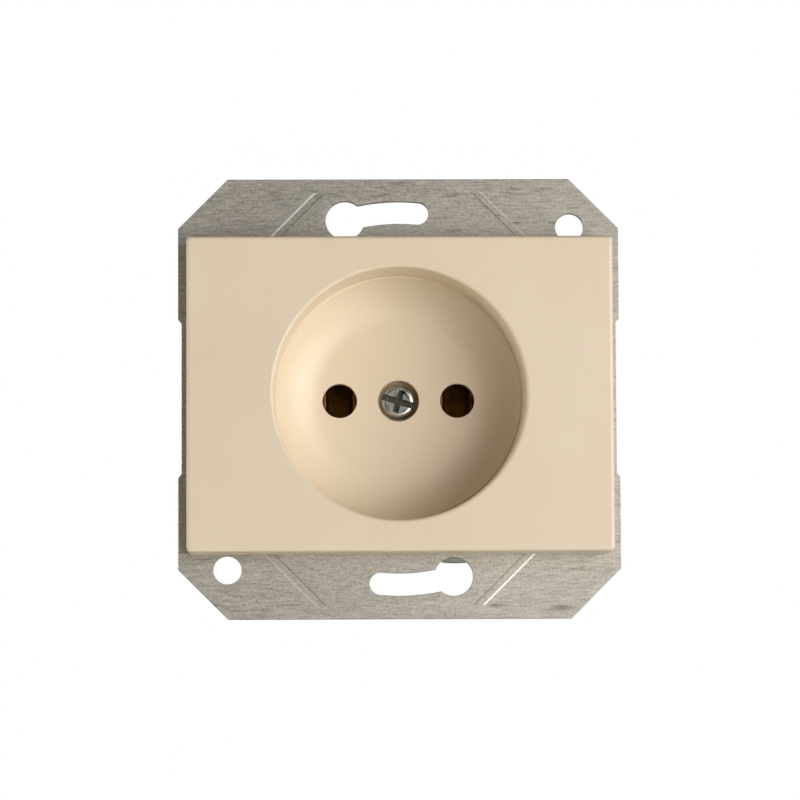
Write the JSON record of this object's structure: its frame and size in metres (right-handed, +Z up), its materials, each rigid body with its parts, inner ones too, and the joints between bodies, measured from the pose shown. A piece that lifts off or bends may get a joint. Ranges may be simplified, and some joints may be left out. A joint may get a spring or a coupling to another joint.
{
  "type": "two-pin socket outlet insert",
  "caption": "Flush two-pin wall socket insert without its outer frame: cream cover with a round plug recess on a square steel mounting plate.",
  "frame": {"origin": "centre of the 60 mm fixing circle on the wall plane, at the back face of the steel plate", "axes": "-Y out of the face towards the user, +Z up as installed, +X to the user's right"},
  "size_m": [0.071, 0.037, 0.071],
  "materials": {
    "galvanised_steel": "dull galvanised sheet",
    "cream_plastic": "satin moulded cream",
    "zinc_plated_steel": "zinc plated",
    "base_moulding": "moulded dark brown",
    "insulating_board": "pressed brown board",
    "contact_brass": "rolled brass",
    "spring_steel": "dark spring steel"
  },
  "bodies": {
    "chassis": {"mounting_plate": "galvanised_steel", "base_body": "base_moulding", "contact_cover": "insulating_board", "base_screws": "zinc_plated_steel", "centre_nut": "zinc_plated_steel", "contact_left": "contact_brass", "contact_right": "contact_brass", "contact_spring_left": "spring_steel", "contact_spring_right": "spring_steel", "terminal_block_left": "contact_brass", "terminal_block_right": "contact_brass"},
    "cover": {"face_cover": "cream_plastic"},
    "cover_screw": {"centre_screw": "zinc_plated_steel"},
    "clamp_left": {"clamp_plate_left": "zinc_plated_steel"},
    "terminal_screw_left": {"terminal_screw_left": "zinc_plated_steel"},
    "claw_left": {"claw_left": "zinc_plated_steel"},
    "claw_nut_left": {"claw_nut_left": "zinc_plated_steel"},
    "claw_screw_left": {"claw_screw_left": "zinc_plated_steel"},
    "clamp_right": {"clamp_plate_right": "zinc_plated_steel"},
    "terminal_screw_right": {"terminal_screw_right": "zinc_plated_steel"},
    "claw_right": {"claw_right": "zinc_plated_steel"},
    "claw_nut_right": {"claw_nut_right": "zinc_plated_steel"},
    "claw_screw_right": {"claw_screw_right": "zinc_plated_steel"}
  },
  "joints": [
    {"name": "cover_draw", "type": "slide", "parent": "chassis", "child": "cover", "axis": [0, -1, 0], "range_m": [0, 0.009]},
    {"name": "centre_screw_turn", "type": "hinge", "parent": "cover", "child": "cover_screw", "pos_m": [0, 0, 0], "axis": [0, -1, 0], "range_deg": [0, 6480]},
    {"name": "clamp_slide_left", "type": "slide", "parent": "chassis", "child": "clamp_left", "axis": [0, 0, 1], "range_m": [0, 0.004]},
    {"name": "terminal_screw_turn_left", "type": "hinge", "parent": "clamp_left", "child": "terminal_screw_left", "pos_m": [-0.0095, 0.0165, 0], "axis": [0, 0, 1], "range_deg": [0, 2400]},
    {"name": "claw_screw_turn_left", "type": "hinge", "parent": "chassis", "child": "claw_screw_left", "pos_m": [-0.0282, 0, 0], "axis": [0, 1, 0], "range_deg": [0, 4320]},
    {"name": "claw_nut_slide_left", "type": "slide", "parent": "chassis", "child": "claw_nut_left", "axis": [0, -1, 0], "range_m": [0, 0.006]},
    {"name": "claw_slide_left", "type": "slide", "parent": "chassis", "child": "claw_left", "axis": [-0.3584, -0.9336, 0], "range_m": [0, 0.00643]},
    {"name": "clamp_slide_right", "type": "slide", "parent": "chassis", "child": "clamp_right", "axis": [0, 0, 1], "range_m": [0, 0.004]},
    {"name": "terminal_screw_turn_right", "type": "hinge", "parent": "clamp_right", "child": "terminal_screw_right", "pos_m": [0.0095, 0.0165, 0], "axis": [0, 0, 1], "range_deg": [0, 2400]},
    {"name": "claw_screw_turn_right", "type": "hinge", "parent": "chassis", "child": "claw_screw_right", "pos_m": [0.0282, 0, 0], "axis": [0, 1, 0], "range_deg": [0, 4320]},
    {"name": "claw_nut_slide_right", "type": "slide", "parent": "chassis", "child": "claw_nut_right", "axis": [0, -1, 0], "range_m": [0, 0.006]},
    {"name": "claw_slide_right", "type": "slide", "parent": "chassis", "child": "claw_right", "axis": [0.3584, -0.9336, 0], "range_m": [0, 0.00643]}
  ],
  "couplings": [
    {"joint": "centre_screw_turn", "follows": "cover_draw", "rad_per_m": 12566},
    {"joint": "terminal_screw_turn_left", "follows": "clamp_slide_left", "rad_per_m": 10472},
    {"joint": "claw_screw_turn_left", "follows": "claw_nut_slide_left", "rad_per_m": 12566},
    {"joint": "claw_slide_left", "follows": "claw_nut_slide_left", "ratio": 1.0711},
    {"joint": "terminal_screw_turn_right", "follows": "clamp_slide_right", "rad_per_m": 10472},
    {"joint": "claw_screw_turn_right", "follows": "claw_nut_slide_right", "rad_per_m": 12566},
    {"joint": "claw_slide_right", "follows": "claw_nut_slide_right", "ratio": 1.0711}
  ]
}
